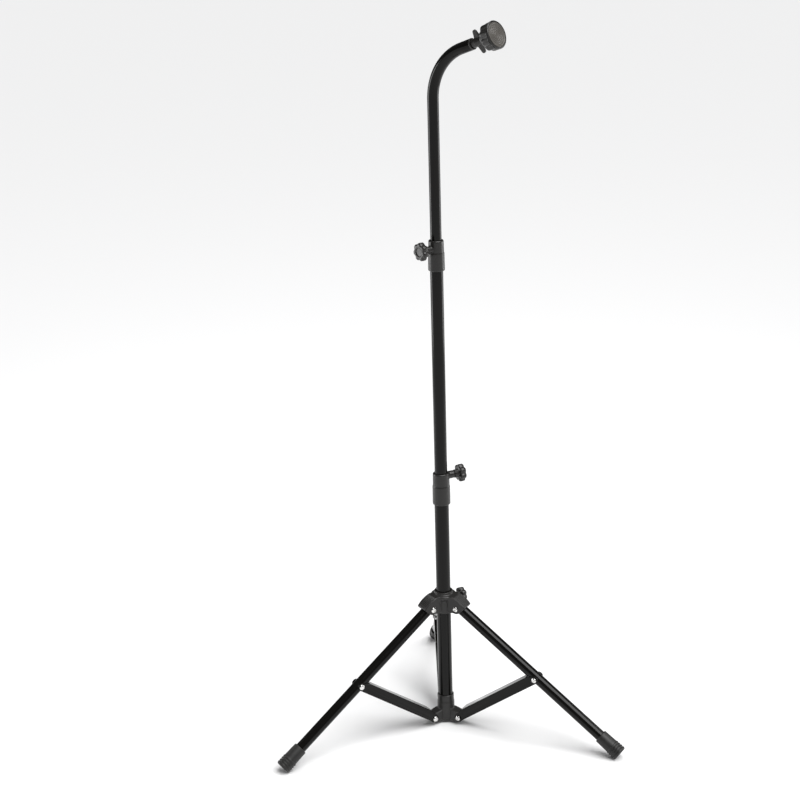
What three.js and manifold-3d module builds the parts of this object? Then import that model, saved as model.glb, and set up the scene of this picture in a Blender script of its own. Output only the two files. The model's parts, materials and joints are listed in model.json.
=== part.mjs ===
// A folding tripod stand with a telescoping column and a bent top arm, for hanging bar chimes.
// Millimetres, +Z up. The column's axis is the Z axis of the inner group, and the floor is at z = 0.
import * as THREE from 'three';
import { mergeVertices } from 'three/addons/utils/BufferGeometryUtils.js';
import Module from 'manifold-3d';

const wasm = await Module();
wasm.setup();

const degrees = Math.PI / 180;

// Clearances
const gap = 0.3; // between nested or touching pieces, on each side
const sideGap = 0.4; // beside a leg or lug that turns between two plates

// Column tubes: radii and walls telescope into each other with the gap
const tubeWall = 1.2;
const upperRadius = 9.5;
const middleRadius = upperRadius + gap + tubeWall;
const lowerRadius = middleRadius + gap + tubeWall;
const lowerTop = 459;
const middleLength = 467;
const middleOverlap = 64; // middle tube left inside the lower tube
const upperOverlap = 47; // upper tube left inside the middle tube
const bushFlange = 3;
const bushSpigot = 14;

// Arm: straight up, one bend, then a short straight end
const armStraight = 303;
const bendRadius = 92;
const bendAngle = 69;
const armEnd = 22;
const armHeading = -40.5;

// Tripod linkage: both pivot circles are equal and so are brace and upper leg, so every pivot closes at each angle
const legHeadings = [210, 330, 90];
const pivotRoom = 3.5; // between the crown's sleeve and a leg's rounded end
const hubPivotHeight = 14.5;
const linkLength = 183;
const legAngle = 54.4; // from the vertical, opened

// Legs and feet
const legRadius = 9.5;
const footWall = 2.2;
const footFlare = 1.5;
const footLength = 45;
const footFloor = 5;
const footFlatDepth = 1.6; // how deep the floor flat cuts the foot's rim

// Pivot screws
const pinRadius = 2.5;
const screwHeadRadius = 5;
const screwHeadHeight = 2.6;
const pivotNutHeight = 3.2;

// Braces: folded steel channels
const braceSheet = 1.2;
const braceRise = 1.5; // outer face of the web above the leg's surface
const braceBottom = 7; // edge of the flanges below the pivot line, and radius of their ends
const windowRoom = 0.6; // between the web's end and the opened leg

// Crown: the sliding hub that carries the legs
const crownWall = 3.7;
const cheekThickness = 3.2;
const roofThickness = 3.4;
const roofCrown = 1.4; // extra height in the middle of each roof
const roofReach = 12; // along the leg, past the pivot
const crownRise = 26.7; // above the pivots
const crownDrop = 13; // below the pivots
const cheekRadius = 9.5; // lower corner of a cheek, about the pivot
const crownRingRadius = 16.5;
const crownRingHeight = 4.5;
const crownFlareRadius = 22; // the roofs begin here
const crownFlareHeight = 6;
const crownRingEdge = 1; // bevel

// Lower hub
const hubBase = 4.5;
const hubFloor = 4;
const hubHeight = 49;
const hubWall = 2.5;
const hubEye = 8.3;
const hubLugRise = 12.5; // top of a lug at the ring, above the pivot

// Clamping collars
const collarHeights = { lower: 57, upper: 52 };
const collarGrip = { lower: 42, upper: 29 }; // length around the outer tube
const collarScrewDrop = { lower: 7, upper: 15 }; // screw axis below the collar's top
const collarWall = 2.7;
const bossRadius = { lower: 7, upper: 6.5, crown: 6.5 };
const bossProud = { lower: 8.5, upper: 6, crown: 10.5 }; // boss face beyond the collar's or sleeve's surface
const knobHeadings = { lower: 23.5, upper: 215.5, crown: 30 };

// Star knobs on their clamp screws
const clampRadius = 3;
const insertRadius = 4.5;
const insertLength = 7.5;
const starRadius = { lower: 15.5, upper: 15.5, crown: 13.5 };
const starThickness = { lower: 11, upper: 11, crown: 10 };
const starNeck = { lower: 7.7, upper: 5.7, crown: 5 };
const starNeckRadius = 7;
const starLobes = 7;
const starLobeDepth = 1.4;
const starBevel = 1.2;
const starScrewDepth = 6.5; // how far the clamp screw runs into the grip
const crownScrewRise = 8;

// Mounting end: plug, stud, wing nut and round clamp knob
const plugFlange = 3;
const plugSpigot = 15;
const studRadius = 4;
const studInPlug = 12;
const wingNutOffset = 3.5;
const wingNutLength = 20;
const wingNutRadius = 7.5;
const wingSpan = 40;
const wingThickness = 4;
const wingBase = 13;
const wingTip = 7;
const wingCentre = 12.5;
const wingTurn = -76;
const knobOffset = 24.5;
const knobLength = 28.5;
const knobNeck = 8.5;
const knobNeckRadius = 11;
const knobRadius = 23;
const knobRound = 2.2;
const knobInsertRadius = 6.5;
const knobInsertLength = 15;
const capRadius = 20;
const capThickness = 2.6;

const roundSides = 18;
const smallSides = 10;

// Worked-out places
const middleBottom = lowerTop - middleOverlap;
const middleTop = middleBottom + middleLength;
const upperBottom = middleTop - upperOverlap;
const armTurnHeight = upperBottom + armStraight;
const pivotCircle = lowerRadius + gap + crownWall + pivotRoom + legRadius;
const footTopRadius = legRadius + gap + footWall;
const footRadius = footTopRadius + footFlare;
const braceTop = legRadius + braceRise;
const legToBrace = (180 - 2 * legAngle) * degrees;
const braceWindow = (braceTop * Math.cos(legToBrace) + legRadius) / Math.sin(legToBrace) + windowRoom;
const bossReach = {
  lower: lowerRadius + gap + collarWall + bossProud.lower,
  upper: middleRadius + gap + collarWall + bossProud.upper,
  crown: lowerRadius + gap + crownWall + bossProud.crown,
};
const crownPivotHeight = hubPivotHeight + 2 * linkLength * Math.cos(legAngle * degrees);
const footEndHeight = footRadius * Math.sin(legAngle * degrees) - footFlatDepth;
const legReach = (crownPivotHeight - footEndHeight) / Math.cos(legAngle * degrees);
const slotHalf = legRadius + sideGap;
const cheekOuter = slotHalf + cheekThickness;
const braceOuter = slotHalf + braceSheet;
const hubLugHalf = slotHalf - sideGap;
const pinHole = pinRadius + gap;
const clampHole = clampRadius + gap;

const finish = (color, roughness, metalness) => () => (
  new THREE.MeshStandardMaterial({ color, roughness, metalness })
);
const glossPaint = finish(0x0b0b0c, 0.16, 0.3);
const blackPlastic = finish(0x151516, 0.5, 0);
const greyPlastic = finish(0x2b2b2d, 0.45, 0);
const rubber = finish(0x101011, 0.75, 0);
const brightSteel = finish(0xc9c9cc, 0.22, 1);
const brass = finish(0xb08d4a, 0.35, 1);

// Closed geometry to a solid: shared corners welded, flat triangles dropped, faces turned outward
function toSolid(geometry) {
  const bare = geometry.clone();
  bare.deleteAttribute('normal');
  bare.deleteAttribute('uv');
  const welded = mergeVertices(bare, 1e-4);
  const points = welded.attributes.position.array;
  const corners = [];
  let volume = 0;
  for (let i = 0; i < welded.index.count; i += 3) {
    const [a, b, c] = welded.index.array.slice(i, i + 3);
    if (a !== b && b !== c && c !== a) {
      corners.push(a, b, c);
      const [p, q, r] = [a, b, c].map((corner) => new THREE.Vector3().fromArray(points, corner * 3));
      volume += p.dot(q.cross(r));
    }
  }
  if (volume < 0) corners.reverse();
  return new wasm.Manifold(new wasm.Mesh({
    numProp: 3,
    vertProperties: Float32Array.from(points),
    triVerts: Uint32Array.from(corners),
  }));
}

function toGeometry(solid) {
  const mesh = solid.getMesh();
  const geometry = new THREE.BufferGeometry();
  geometry.setAttribute('position', new THREE.BufferAttribute(mesh.vertProperties, 3));
  geometry.setIndex(new THREE.BufferAttribute(mesh.triVerts, 1));
  return geometry;
}

const closed = (geometry) => toGeometry(toSolid(geometry));
const join = (...pieces) => toGeometry(pieces.map(toSolid).reduce((whole, piece) => whole.add(piece)));
const cut = (body, ...tools) => toGeometry(tools.map(toSolid).reduce((left, tool) => left.subtract(tool), toSolid(body)));
const common = (first, second) => toGeometry(toSolid(first).intersect(toSolid(second)));

// A turned solid: outline points are [radius, distance along the axis]
function turned(outline, axis, sides = roundSides) {
  const geometry = new THREE.LatheGeometry(outline.map(([r, h]) => new THREE.Vector2(r, h)), sides);
  if (axis === 'z') geometry.rotateX(Math.PI / 2);
  if (axis === 'x') geometry.rotateZ(-Math.PI / 2);
  return geometry;
}

function rod(radius, from, to, axis, sides = smallSides) {
  return turned([[0, from], [radius, from], [radius, to], [0, to]], axis, sides);
}

function pipe(inner, outer, from, to, axis, sides = roundSides) {
  return turned([[inner, from], [outer, from], [outer, to], [inner, to], [inner, from]], axis, sides);
}

function box(from, to) {
  const size = to.map((high, i) => high - from[i]);
  return new THREE.BoxGeometry(...size).translate(...from.map((low, i) => low + size[i] / 2));
}

// An outline in the X-Z plane, extruded to both sides of it
function plate(outline, halfWidth) {
  const shape = new THREE.Shape(outline.map(([x, z]) => new THREE.Vector2(x, z)));
  const geometry = new THREE.ExtrudeGeometry(shape, { depth: 2 * halfWidth, bevelEnabled: false, curveSegments: 8 });
  return geometry.translate(0, 0, -halfWidth).rotateX(Math.PI / 2);
}

// Points of an arc in a plate's outline
function arc(x, z, radius, fromAngle, toAngle, steps = 6) {
  return Array.from({ length: steps + 1 }, (_, i) => {
    const angle = (fromAngle + (toAngle - fromAngle) * i / steps) * degrees;
    return [x + radius * Math.cos(angle), z + radius * Math.sin(angle)];
  });
}

function add(parent, name, geometry, material) {
  const mesh = new THREE.Mesh(geometry, material());
  mesh.name = name;
  parent.add(mesh);
  return mesh;
}

function frame(parent, position, axis = 'z', angle = 0) {
  const group = new THREE.Group();
  group.position.set(...position);
  group.rotation[axis] = angle * degrees;
  parent.add(group);
  return group;
}

// The bush at a tube's lower end: a spigot in the bore and a flange under the end
function endBush(tubeRadius) {
  const bore = tubeRadius - tubeWall;
  const spigot = bore - gap;
  return closed(turned([
    [spigot - 2, -bushFlange - gap], [tubeRadius, -bushFlange - gap], [tubeRadius, -gap], [spigot, -gap],
    [spigot, bushSpigot], [spigot - 2, bushSpigot], [spigot - 2, -bushFlange - gap],
  ], 'z'));
}

// A collar around the top of an outer tube, with a screw boss that reaches past the inner tube
function collar(which, outerTube, innerTube) {
  const height = collarHeights[which];
  const grip = collarGrip[which];
  const outer = outerTube + gap + collarWall;
  const top = outer - 1.2;
  const shell = turned([
    [outerTube + gap, 0], [outer, 0], [outer, grip * 0.6], [top, height - 2], [top - 1.4, height],
    [innerTube + gap, height], [innerTube + gap, grip + gap], [outerTube + gap, grip + gap], [outerTube + gap, 0],
  ], 'z');
  const screwHeight = height - collarScrewDrop[which];
  const boss = rod(bossRadius[which], outer - 4, bossReach[which], 'x', roundSides).translate(0, 0, screwHeight);
  const bores = [
    rod(clampHole, 0, bossReach[which] + 1, 'x').translate(0, 0, screwHeight),
    rod(insertRadius + gap, bossReach[which] - insertLength - gap, bossReach[which] + 1, 'x').translate(0, 0, screwHeight),
    rod(outerTube + gap, -1, grip + gap, 'z', roundSides),
    rod(innerTube + gap, grip, height + 1, 'z', roundSides),
  ];
  return cut(join(shell, boss), ...bores);
}

// A star knob: a lobed grip with rounded edges, on a round neck, its screw bore open towards the collar
function starKnob(which) {
  const points = [];
  for (let i = 0; i < starLobes * 6; i += 1) {
    const angle = 2 * Math.PI * i / (starLobes * 6);
    const radius = starRadius[which] - starBevel - starLobeDepth * (1 - Math.cos(starLobes * angle)) / 2;
    points.push(new THREE.Vector2(radius * Math.cos(angle), radius * Math.sin(angle)));
  }
  const thickness = starThickness[which];
  const grip = new THREE.ExtrudeGeometry(new THREE.Shape(points), {
    depth: thickness - 2 * starBevel,
    bevelThickness: starBevel,
    bevelSize: starBevel,
    bevelSegments: 1,
  });
  grip.translate(0, 0, starNeck[which] + starBevel).rotateY(Math.PI / 2);
  const neck = rod(starNeckRadius, 0, starNeck[which] + 1, 'x', roundSides);
  return cut(join(grip, neck), rod(clampHole, -1, starNeck[which] + starScrewDepth + gap, 'x'));
}

// Knob, screw and threaded insert of one clamp; the frame's X axis is the screw's
function addClamp(parent, which, tubeRadius) {
  const face = bossReach[which] + gap;
  const tip = tubeRadius + gap;
  const end = face + starNeck[which] + starScrewDepth;
  add(parent, `${which}_clamp_knob`, starKnob(which), blackPlastic).position.x = face;
  add(parent, `${which}_clamp_screw`, closed(turned([
    [0, tip], [clampRadius - 0.8, tip], [clampRadius, tip + 1.5], [clampRadius, end], [0, end],
  ], 'x', smallSides)), brightSteel);
  const insertFrom = bossReach[which] - insertLength;
  const insert = pipe(clampHole, insertRadius, insertFrom, bossReach[which], 'x', smallSides);
  add(parent, `${which}_clamp_insert`, closed(insert), brass);
}

// Pivot screw with a low domed head on the +Y side, and its closed round nut on the other
function addPivot(parent, name, x, halfWidth) {
  const seat = halfWidth + gap;
  const shankEnd = -seat - pivotNutHeight + 1.2;
  const screw = closed(turned([
    [0, shankEnd], [pinRadius, shankEnd], [pinRadius, seat], [screwHeadRadius, seat],
    [screwHeadRadius, seat + screwHeadHeight * 0.45], [screwHeadRadius * 0.6, seat + screwHeadHeight],
    [0, seat + screwHeadHeight],
  ], 'y', smallSides));
  add(parent, `${name}_screw`, screw, brightSteel).position.x = x;
  const back = -seat - pivotNutHeight;
  const nut = closed(turned([
    [0, back], [screwHeadRadius * 0.6, back], [screwHeadRadius * 0.9, back + pivotNutHeight * 0.55],
    [screwHeadRadius * 0.9, -seat], [pinHole, -seat], [pinHole, shankEnd - gap], [0, shankEnd - gap],
  ], 'y', smallSides));
  add(parent, `${name}_nut`, nut, brightSteel).position.x = x;
}

function lowerHub() {
  const bore = lowerRadius + gap;
  const outer = bore + hubWall;
  const ring = turned([
    [0, hubBase], [outer, hubBase], [outer, hubBase + hubHeight - 1.5], [outer - 1.2, hubBase + hubHeight],
    [bore, hubBase + hubHeight], [bore, hubBase + hubFloor], [0, hubBase + hubFloor],
  ], 'z');
  const lugs = legHeadings.map((heading) => plate([
    [bore + 1, hubBase], ...arc(pivotCircle, hubPivotHeight, hubEye, -90, 60),
    [bore + 1, hubPivotHeight + hubLugRise],
  ], hubLugHalf).rotateZ(heading * degrees));
  const holes = legHeadings.map((heading) => (
    rod(pinHole, -hubLugHalf - 1, hubLugHalf + 1, 'y').translate(pivotCircle, 0, hubPivotHeight).rotateZ(heading * degrees)
  ));
  return cut(join(ring, ...lugs), ...holes);
}

// The crown's own height zero is at the leg pivots
function crownHub() {
  const bore = lowerRadius + gap;
  const sleeve = bore + crownWall;
  const flareTop = crownRise - crownRingHeight;
  const along = [Math.sin(legAngle * degrees), -Math.cos(legAngle * degrees)];
  const above = [-along[1], along[0]];
  const at = (distance, offset) => [
    pivotCircle + distance * along[0] + offset * above[0],
    distance * along[1] + offset * above[1],
  ];
  const under = legRadius + gap;
  const over = under + roofThickness;
  const shell = turned([
    [bore, -crownDrop], [sleeve, -crownDrop], [sleeve, flareTop - 2 * crownFlareHeight],
    [crownFlareRadius, flareTop - crownFlareHeight], [crownFlareRadius, flareTop - 1.5],
    [crownRingRadius, flareTop], [crownRingRadius, crownRise - crownRingEdge],
    [crownRingRadius - crownRingEdge, crownRise], [bore, crownRise], [bore, -crownDrop],
  ], 'z');
  const roofTopReach = (pivotCircle + over * above[0] - crownFlareRadius) / along[0];
  const lobe = [
    [bore + 1, -cheekRadius], ...arc(pivotCircle, 0, cheekRadius, -110, -60, 4),
    at(roofReach, under - 1), at(roofReach, over), at(0, over + roofCrown), at(-roofTopReach, over),
    [bore + 1, at(-roofTopReach, over)[1]],
  ];
  const slotTop = at(-8, under);
  const slot = [
    at(3 * roofReach, under), slotTop, [sleeve + gap, slotTop[1]], [sleeve + gap, -2 * crownDrop],
    [3 * pivotCircle, -2 * crownDrop],
  ];
  const turn = (geometry, heading) => geometry.rotateZ(heading * degrees);
  const lobes = legHeadings.map((heading) => turn(cut(
    plate(lobe, cheekOuter),
    plate(slot, slotHalf),
    rod(pinHole, -cheekOuter - 1, cheekOuter + 1, 'y').translate(pivotCircle, 0, 0),
  ), heading));
  const boss = rod(bossRadius.crown, sleeve - 2, bossReach.crown, 'x', roundSides).translate(0, 0, crownScrewRise);
  const screwBores = [
    rod(clampHole, 0, bossReach.crown + 1, 'x').translate(0, 0, crownScrewRise),
    rod(insertRadius + gap, bossReach.crown - insertLength - gap, bossReach.crown + 1, 'x').translate(0, 0, crownScrewRise),
  ];
  const turnedBoss = turn(boss, knobHeadings.crown);
  const turnedBores = screwBores.map((tool) => turn(tool, knobHeadings.crown));
  const body = join(shell, ...lobes, turnedBoss);
  return cut(body, rod(bore, -2 * crownDrop, 2 * crownRise, 'z', roundSides), ...turnedBores);
}

// Leg frame: X runs down the leg from the crown pivot, Z points up from the leg's upper side
function legTube() {
  const end = legReach - footFloor - gap;
  const tube = pipe(legRadius - tubeWall, legRadius, -legRadius - 1, end, 'x');
  const roundedEnd = plate([...arc(0, 0, legRadius, 90, 270, 10), [end + 1, -legRadius - 1], [end + 1, legRadius + 1],
    [1, legRadius + 1]], legRadius + 1);
  const holes = [0, linkLength].map((x) => rod(pinHole, -legRadius - 1, legRadius + 1, 'y').translate(x, 0, 0));
  return cut(common(tube, roundedEnd), ...holes);
}

function legFoot(legMatrix) {
  const start = legReach - footLength;
  const bore = legRadius + gap;
  const cap = turned([
    [bore, start], [footTopRadius - 0.8, start], [footTopRadius, start + 1], [footTopRadius + 0.5, start + 26],
    [footRadius, start + 29], [footRadius, legReach - 1], [footRadius - 1, legReach], [0, legReach],
    [0, legReach - footFloor], [bore, legReach - footFloor], [bore, start],
  ], 'x');
  const farOut = pivotCircle + legReach;
  const belowFloor = box([0, -farOut, -farOut], [2 * farOut, farOut, 0]).applyMatrix4(legMatrix.clone().invert());
  return cut(cap, belowFloor);
}

// Brace frame: X runs from the hub pivot to the leg pivot, and the web is on the +Z side
function brace() {
  const far = linkLength;
  const outline = [
    ...arc(0, 0, braceBottom, 90, 270, 8), ...arc(far, 0, braceBottom, -90, 90, 8),
    [far - braceWindow, braceTop], [braceWindow, braceTop],
  ];
  const channel = plate([
    [-2 * braceBottom, -2 * braceBottom], [far + 2 * braceBottom, -2 * braceBottom],
    [far + 2 * braceBottom, braceTop - braceSheet], [-2 * braceBottom, braceTop - braceSheet],
  ], slotHalf);
  const windows = [[-braceWindow, braceWindow], [far - braceWindow, far + braceWindow]].map(([from, to]) => (
    box([from, -slotHalf, 0], [to, slotHalf, 2 * braceTop])
  ));
  const holes = [0, far].map((x) => rod(pinHole, -braceOuter - 1, braceOuter + 1, 'y').translate(x, 0, 0));
  return cut(plate(outline, braceOuter), channel, ...windows, ...holes);
}

class ArcCurve3 extends THREE.Curve {
  constructor(radius, height, angle) {
    super();
    Object.assign(this, { radius, height, angle });
  }

  getPoint(t, target = new THREE.Vector3()) {
    const turn = this.angle * t;
    return target.set(this.radius * (1 - Math.cos(turn)), 0, this.height + this.radius * Math.sin(turn));
  }
}

function armTube(tip) {
  const path = new THREE.CurvePath();
  const bend = new ArcCurve3(bendRadius, armTurnHeight, bendAngle * degrees);
  const bendEnd = bend.getPoint(1);
  path.add(new THREE.LineCurve3(new THREE.Vector3(0, 0, upperBottom), new THREE.Vector3(0, 0, armTurnHeight)));
  path.add(bend);
  path.add(new THREE.LineCurve3(bendEnd, tip));
  const section = new THREE.Shape();
  section.absarc(0, 0, upperRadius, 0, 2 * Math.PI);
  const bore = new THREE.Path();
  bore.absarc(0, 0, upperRadius - tubeWall, 0, 2 * Math.PI, true);
  section.holes.push(bore);
  return closed(new THREE.ExtrudeGeometry(section, { steps: 32, extrudePath: path, curveSegments: 7 }));
}

function wingNut() {
  const body = turned([
    [0, 0], [wingNutRadius, 0], [wingNutRadius, wingNutLength * 0.4], [wingNutRadius - 1.5, wingNutLength],
    [0, wingNutLength],
  ], 'x');
  const tip = wingSpan / 2;
  const round = wingTip / 2;
  const foot = wingNutRadius * 0.6;
  const shape = new THREE.Shape();
  shape.moveTo(wingCentre - wingBase / 2, -foot);
  shape.lineTo(wingCentre - wingBase / 2, foot);
  shape.lineTo(wingCentre - round, tip - round);
  shape.absarc(wingCentre, tip - round, round, Math.PI, 0, true);
  shape.lineTo(wingCentre + wingBase / 2, foot);
  shape.lineTo(wingCentre + wingBase / 2, -foot);
  shape.lineTo(wingCentre + round, round - tip);
  shape.absarc(wingCentre, round - tip, round, 0, -Math.PI, true);
  const wings = new THREE.ExtrudeGeometry(shape, { depth: wingThickness, bevelEnabled: false, curveSegments: 6 });
  wings.translate(0, 0, -wingThickness / 2);
  return cut(join(body, wings), rod(studRadius + gap, -1, wingNutLength + 1, 'x'));
}

function clampKnobBody() {
  const front = knobLength;
  const rim = knobRadius;
  return closed(turned([
    [knobInsertRadius + gap, 0], [knobNeckRadius - 1, 0], [knobNeckRadius, 1], [knobNeckRadius, knobNeck],
    [rim - 3, knobNeck], [rim, knobNeck + 2], [rim, front - knobRound],
    [rim - knobRound * 0.3, front - knobRound * 0.3], [rim - knobRound, front],
    [capRadius + gap, front], [capRadius + gap, front - capThickness - gap],
    [0, front - capThickness - gap], [0, knobInsertLength + gap],
    [knobInsertRadius + gap, knobInsertLength + gap], [knobInsertRadius + gap, 0],
  ], 'x'));
}

const stand = new THREE.Group();
const column = frame(stand, [0, 0, 0]);

// Fixed column: lower tube, lower hub and the collar on the tube's top
const tubeBottom = hubBase + hubFloor + gap;
add(column, 'lower_tube', closed(pipe(lowerRadius - tubeWall, lowerRadius, tubeBottom, lowerTop, 'z')), glossPaint);
add(column, 'lower_hub', lowerHub(), blackPlastic);
const lowerCollarFrame = frame(column, [0, 0, lowerTop - collarGrip.lower], 'z', knobHeadings.lower);
add(lowerCollarFrame, 'lower_collar', collar('lower', lowerRadius, middleRadius), blackPlastic);
const lowerScrewHeight = collarHeights.lower - collarScrewDrop.lower;
addClamp(frame(lowerCollarFrame, [0, 0, lowerScrewHeight]), 'lower', middleRadius);

// Middle tube with its end bush and upper collar
add(column, 'middle_tube', closed(pipe(middleRadius - tubeWall, middleRadius, middleBottom, middleTop, 'z')), glossPaint);
add(column, 'middle_tube_bush', endBush(middleRadius), greyPlastic).position.z = middleBottom;
const upperCollarFrame = frame(column, [0, 0, middleTop - collarGrip.upper], 'z', knobHeadings.upper);
add(upperCollarFrame, 'upper_collar', collar('upper', middleRadius, upperRadius), blackPlastic);
const upperScrewHeight = collarHeights.upper - collarScrewDrop.upper;
addClamp(frame(upperCollarFrame, [0, 0, upperScrewHeight]), 'upper', upperRadius);

// Bent arm with its end bush
add(column, 'upper_tube_bush', endBush(upperRadius), greyPlastic).position.z = upperBottom;
const arm = frame(column, [0, 0, 0], 'z', armHeading);
const tipDirection = new THREE.Vector3(Math.sin(bendAngle * degrees), 0, Math.cos(bendAngle * degrees));
const armTip = new ArcCurve3(bendRadius, armTurnHeight, bendAngle * degrees).getPoint(1);
armTip.addScaledVector(tipDirection, armEnd);
add(arm, 'bent_arm_tube', armTube(armTip), glossPaint);

// Mounting end: X of this frame runs out of the arm's end
const tipFrame = frame(arm, armTip.toArray(), 'y', bendAngle - 90);
const plugBore = upperRadius - tubeWall - gap;
add(tipFrame, 'arm_end_plug', closed(turned([
  [studRadius + gap, -plugSpigot], [plugBore, -plugSpigot], [plugBore, gap], [upperRadius, gap],
  [upperRadius, plugFlange], [studRadius + gap, plugFlange], [studRadius + gap, -plugSpigot],
], 'x')), blackPlastic);
const studEnd = knobOffset + knobInsertLength - 1;
add(tipFrame, 'mounting_stud', closed(turned([
  [0, -studInPlug], [studRadius, -studInPlug], [studRadius, studEnd - 1], [studRadius - 1, studEnd], [0, studEnd],
], 'x', smallSides)), brightSteel);
const wingNutMesh = add(tipFrame, 'wing_nut', wingNut(), blackPlastic);
wingNutMesh.position.x = wingNutOffset;
wingNutMesh.rotation.x = wingTurn * degrees;
const knobFrame = frame(tipFrame, [knobOffset, 0, 0]);
add(knobFrame, 'clamp_knob_body', clampKnobBody(), blackPlastic);
const knobInsert = pipe(studRadius + gap, knobInsertRadius, 0, knobInsertLength, 'x', smallSides);
add(knobFrame, 'clamp_knob_insert', closed(knobInsert), brass);
const capFrom = knobLength - capThickness;
add(knobFrame, 'clamp_knob_cap', closed(turned([
  [0, capFrom], [capRadius, capFrom], [capRadius, knobLength - 0.4], [capRadius - 1.5, knobLength],
  [capRadius - 3, knobLength - 0.8], [0, knobLength - 0.8],
], 'x', 32)), greyPlastic);

// Crown with its lock knob
const crown = frame(column, [0, 0, crownPivotHeight]);
add(crown, 'crown_hub', crownHub(), blackPlastic);
addClamp(frame(crown, [0, 0, crownScrewRise], 'z', knobHeadings.crown), 'crown', lowerRadius);

// Legs and braces
legHeadings.forEach((heading, i) => {
  const side = frame(column, [0, 0, 0], 'z', heading);
  const leg = frame(side, [pivotCircle, 0, crownPivotHeight], 'y', 90 - legAngle);
  leg.updateMatrix();
  add(leg, `leg_tube_${i + 1}`, legTube(), glossPaint);
  add(leg, `leg_foot_${i + 1}`, legFoot(leg.matrix), rubber);
  addPivot(leg, `crown_pivot_${i + 1}`, 0, cheekOuter);
  addPivot(leg, `leg_pivot_${i + 1}`, linkLength, braceOuter);
  const strut = frame(side, [pivotCircle, 0, hubPivotHeight], 'y', legAngle - 90);
  add(strut, `brace_${i + 1}`, brace(), glossPaint);
  addPivot(strut, `hub_pivot_${i + 1}`, 0, braceOuter);
});

// The whole stand is centred over the origin, standing on z = 0
column.updateMatrixWorld(true);
const bounds = new THREE.Box3().setFromObject(column, true);
const centre = bounds.getCenter(new THREE.Vector3());
column.position.set(-centre.x, -centre.y, -bounds.min.z);

export default stand;
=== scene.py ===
# Folding chime stand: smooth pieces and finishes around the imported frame. Metres, +Z up.
import bpy
import bmesh
import json
import math
import numpy as np
from mathutils import Matrix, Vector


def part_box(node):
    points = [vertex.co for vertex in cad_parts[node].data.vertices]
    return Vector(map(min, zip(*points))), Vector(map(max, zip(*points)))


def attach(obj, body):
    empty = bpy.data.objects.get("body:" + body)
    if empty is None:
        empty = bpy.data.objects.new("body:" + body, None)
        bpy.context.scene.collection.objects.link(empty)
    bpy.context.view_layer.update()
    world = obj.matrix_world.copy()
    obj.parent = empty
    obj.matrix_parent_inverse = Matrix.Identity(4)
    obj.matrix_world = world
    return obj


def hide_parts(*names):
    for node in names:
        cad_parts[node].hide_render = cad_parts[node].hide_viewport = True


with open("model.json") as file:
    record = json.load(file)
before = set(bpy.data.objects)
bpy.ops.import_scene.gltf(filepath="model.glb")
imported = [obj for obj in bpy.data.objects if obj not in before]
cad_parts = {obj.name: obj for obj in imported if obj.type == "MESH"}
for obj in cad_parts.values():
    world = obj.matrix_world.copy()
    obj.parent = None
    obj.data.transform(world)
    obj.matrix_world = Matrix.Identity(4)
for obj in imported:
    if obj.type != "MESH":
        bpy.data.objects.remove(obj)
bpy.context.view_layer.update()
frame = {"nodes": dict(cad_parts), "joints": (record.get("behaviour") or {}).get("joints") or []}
mm = 0.001
joints = {joint["name"]: joint for joint in frame["joints"]}
print("stage: frame loaded")


# places in the frame
def unit(vector):
    vector = np.array(vector, dtype=float)
    return vector / np.linalg.norm(vector)


def place(origin, along, side):
    # a 4x4 place whose x runs along the piece and y to its side
    along = unit(along)
    side = unit(np.array(side) - along * np.dot(side, along))
    matrix = np.eye(4)
    matrix[:3, 0] = along
    matrix[:3, 1] = side
    matrix[:3, 2] = np.cross(along, side)
    matrix[:3, 3] = origin
    return matrix


def moved(points, matrix):
    return points @ matrix[:3, :3].T + matrix[:3, 3]


def boxOf(node):
    low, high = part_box(node)
    return np.array(low), np.array(high)


tubeLow, tubeHigh = boxOf("lower_tube")
columnX, columnY = (tubeLow[:2] + tubeHigh[:2]) / 2


def onColumn(height, along=(0, 0, 1), side=(1, 0, 0)):
    return place((columnX, columnY, height), along, side)


def jointPlace(name):
    return np.array(joints[name]["pos_m"]), unit(joints[name]["axis"])


# one entry per leg: pivots at crown, leg and hub, with the tangent that points to the screw heads
legs = []
for number, fold in ((1, None), (2, "leg_2_pivot"), (3, "leg_3_pivot")):
    if number == 1:
        knee, tangent = jointPlace("leg_1_pivot")
        crownPivot = jointPlace("crown_ride")[0]
    else:
        crownPivot, tangent = jointPlace(fold)
        knee = jointPlace("brace_%d_pivot" % number)[0]
    hubPivot = crownPivot.copy()
    hubPivot[2] = jointPlace("tripod_fold")[0][2]
    legs.append({"number": number, "crown": crownPivot, "knee": knee, "hub": hubPivot, "side": tangent,
                 "leg": place(crownPivot, knee - crownPivot, tangent),
                 "brace": place(hubPivot, knee - hubPivot, tangent)})


# surfaces as arrays
def gridFaces(rows, columns, closedRows, closedColumns):
    # four-cornered faces between neighbouring grid points, wrapped round where the grid closes
    u = np.arange(rows if closedRows else rows - 1)
    v = np.arange(columns if closedColumns else columns - 1)
    a, b = np.meshgrid(u, v, indexing="ij")
    nextA, nextB = (a + 1) % rows, (b + 1) % columns
    corners = [a * columns + b, nextA * columns + b, nextA * columns + nextB, a * columns + nextB]
    return np.stack(corners, axis=-1).reshape(-1, 4)


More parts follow.
